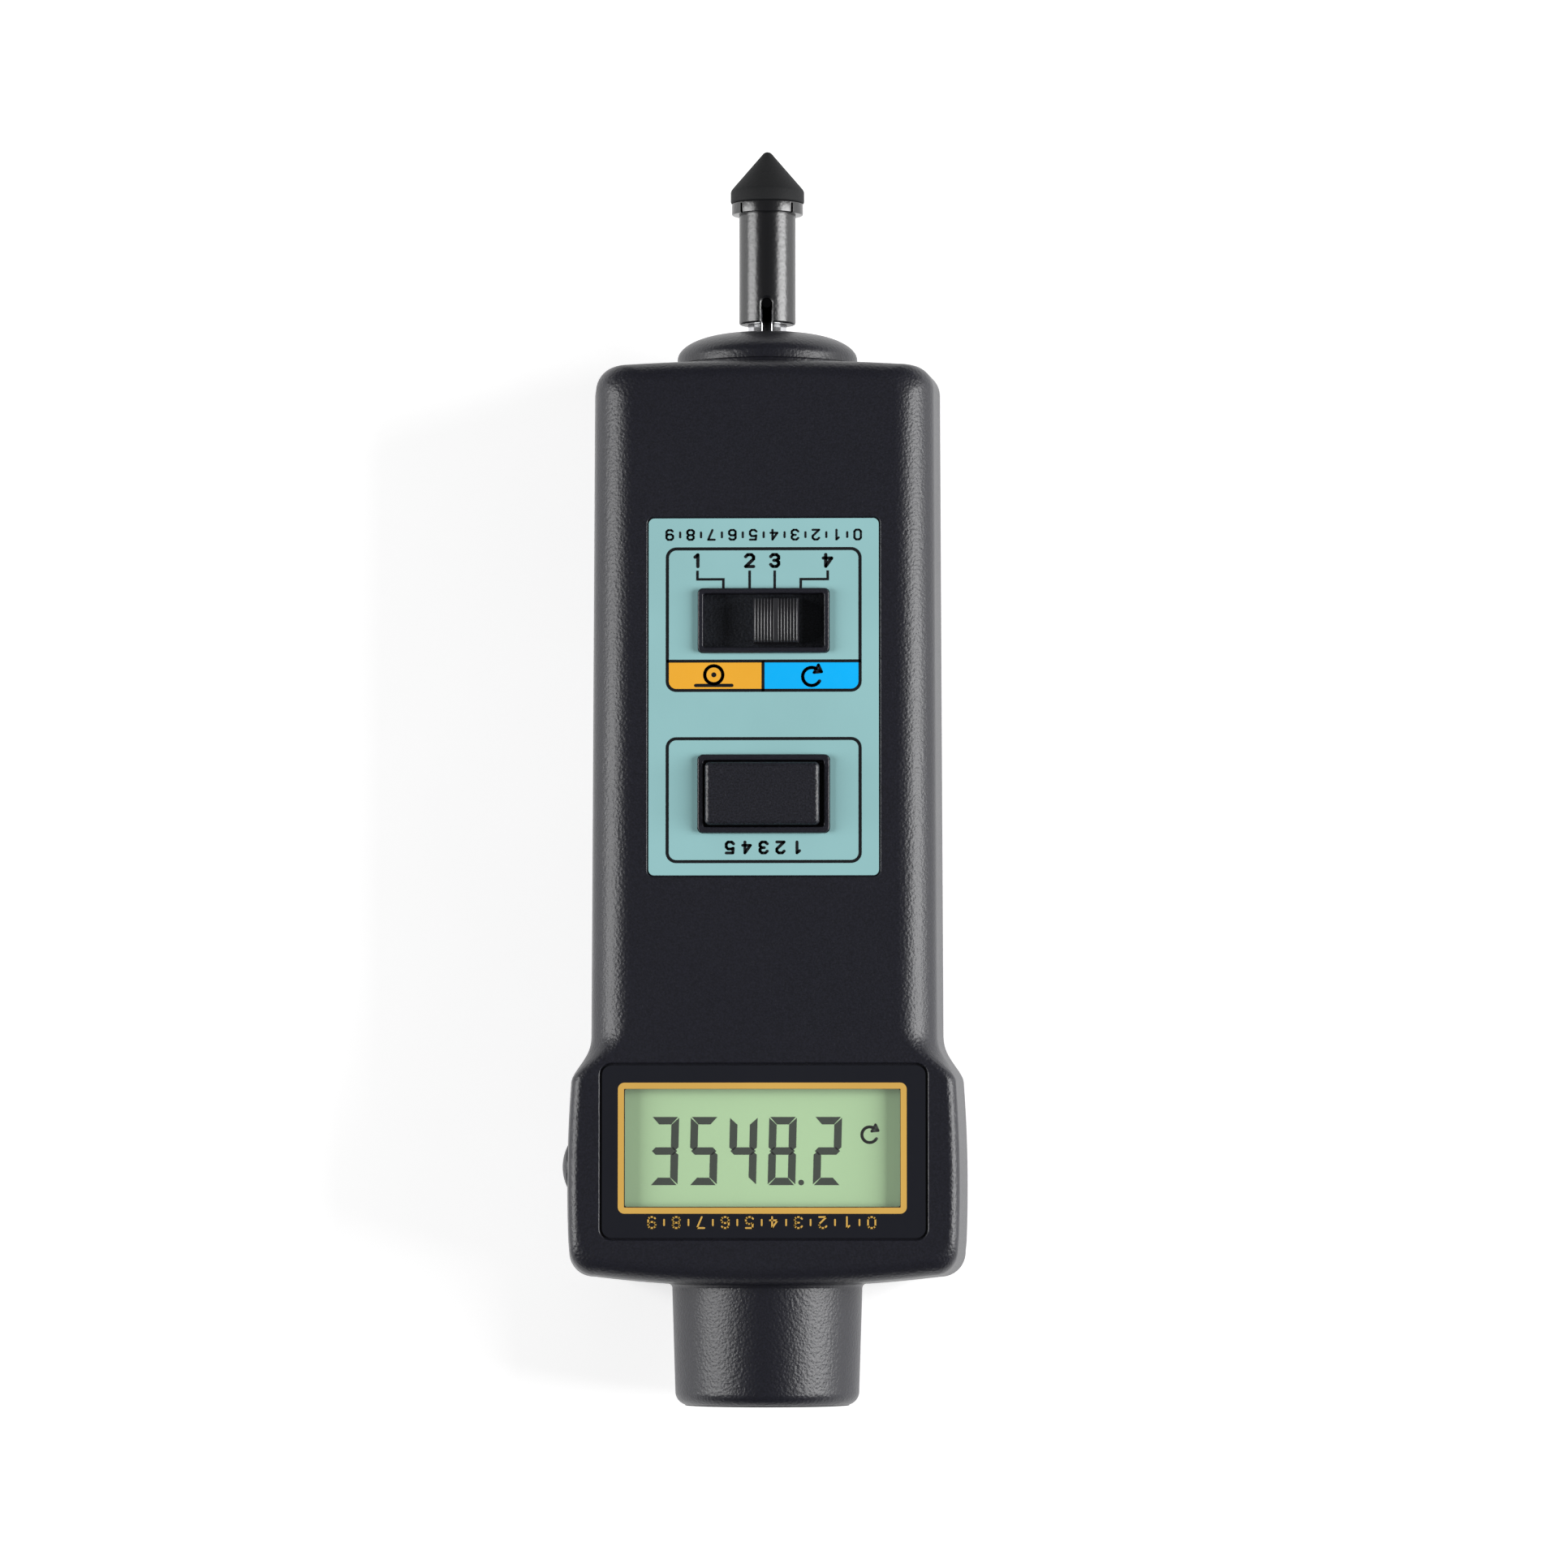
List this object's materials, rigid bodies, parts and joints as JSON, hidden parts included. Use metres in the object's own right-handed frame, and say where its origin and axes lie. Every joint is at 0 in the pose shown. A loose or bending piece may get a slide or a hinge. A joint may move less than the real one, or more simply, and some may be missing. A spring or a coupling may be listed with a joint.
{
  "type": "contact tachometer",
  "caption": "Hand-held speed meter with a driven contact shaft and rubber cone at one end and a light hood at the other, a digital display, a slide selector and two keys.",
  "frame": {"origin": "on the flat back face, under the contact shaft's axis and half-way along the case", "axes": "+Z out of the front face, +Y along the shaft towards the contact tip, +X to the right with the front face up and the tip away"},
  "size_m": [0.0658, 0.2043, 0.0402],
  "materials": {
    "case_plastic": "fine leather-grain moulding",
    "nose_metal": "fine moulded grain",
    "label": "satin printed plate",
    "display_panel": "gloss panel with a clear window",
    "display_glass": "display glass",
    "white_plastic": "moulded",
    "contact_rubber": "plain",
    "circuit_board": "solder mask",
    "chip_plastic": "plain",
    "black_plastic": "moulded",
    "screw_steel": "zinc plated",
    "bearing_steel": "ground",
    "brass": "turned",
    "lens_glass": "polished",
    "lamp_glass": "clear",
    "cell_wrap": "plain wrapped cell",
    "spring_steel": "nickel plated",
    "knob_plastic": "satin moulded",
    "key_plastic": "fine leather-grain moulding",
    "plunger_plastic": "plain",
    "shaft_steel": "ground",
    "adapter_plastic": "satin black",
    "tip_rubber": "matt"
  },
  "bodies": {
    "case": {"front_case": "case_plastic", "rear_case": "case_plastic", "label_plate": "label", "display_window": "display_panel", "lcd_glass": "display_glass", "lcd_frame": "white_plastic", "zebra_strips": "contact_rubber", "main_board": "circuit_board", "board_chips": "chip_plastic", "slide_switch_body": "black_plastic", "memory_switch": "black_plastic", "measure_switch": "black_plastic", "case_screws": "screw_steel", "board_screws": "screw_steel", "nose_housing": "nose_metal", "front_bearing": "bearing_steel", "rear_bearing": "bearing_steel", "bearing_spacer": "brass", "pickup_board": "circuit_board", "slot_sensor": "black_plastic", "light_hood": "case_plastic", "lens_tube": "black_plastic", "lens": "lens_glass", "lens_ring": "black_plastic", "lamp": "lamp_glass", "lamp_holder": "brass", "light_sensor": "bearing_steel", "optics_board": "circuit_board", "battery_cells": "cell_wrap", "battery_springs": "spring_steel", "battery_plates": "spring_steel"},
    "battery_cover": {"battery_cover": "case_plastic"},
    "selector": {"switch_knob": "knob_plastic"},
    "memory_key": {"memory_button": "key_plastic", "memory_plunger": "plunger_plastic"},
    "measure_key": {"measure_button": "key_plastic", "measure_plunger": "plunger_plastic"},
    "spindle": {"contact_shaft": "shaft_steel", "drive_pin": "shaft_steel", "encoder_disc": "black_plastic", "retaining_ring": "spring_steel"},
    "adapter": {"adapter_sleeve": "adapter_plastic", "rubber_cone": "tip_rubber"}
  },
  "joints": [
    {"name": "shaft_spin", "type": "hinge", "parent": "case", "child": "spindle", "pos_m": [0, 0.075, 0.019], "axis": [0, 1, 0], "continuous": true},
    {"name": "adapter_pull_off", "type": "slide", "parent": "spindle", "child": "adapter", "axis": [0, 1, 0], "range_m": [0, 0.03]},
    {"name": "selector_slide", "type": "slide", "parent": "case", "child": "selector", "axis": [1, 0, 0], "range_m": [-0.008, 0.004]},
    {"name": "memory_press", "type": "slide", "parent": "case", "child": "memory_key", "axis": [0, 0, -1], "range_m": [0, 0.0012], "stiffness_N_per_m": 600, "springref_m": -0.0006},
    {"name": "measure_press", "type": "slide", "parent": "case", "child": "measure_key", "axis": [1, 0, 0], "range_m": [0, 0.0006], "stiffness_N_per_m": 1000, "springref_m": -0.0005},
    {"name": "battery_cover_slide", "type": "slide", "parent": "case", "child": "battery_cover", "axis": [0, 1, 0], "range_m": [0, 0.14]}
  ]
}
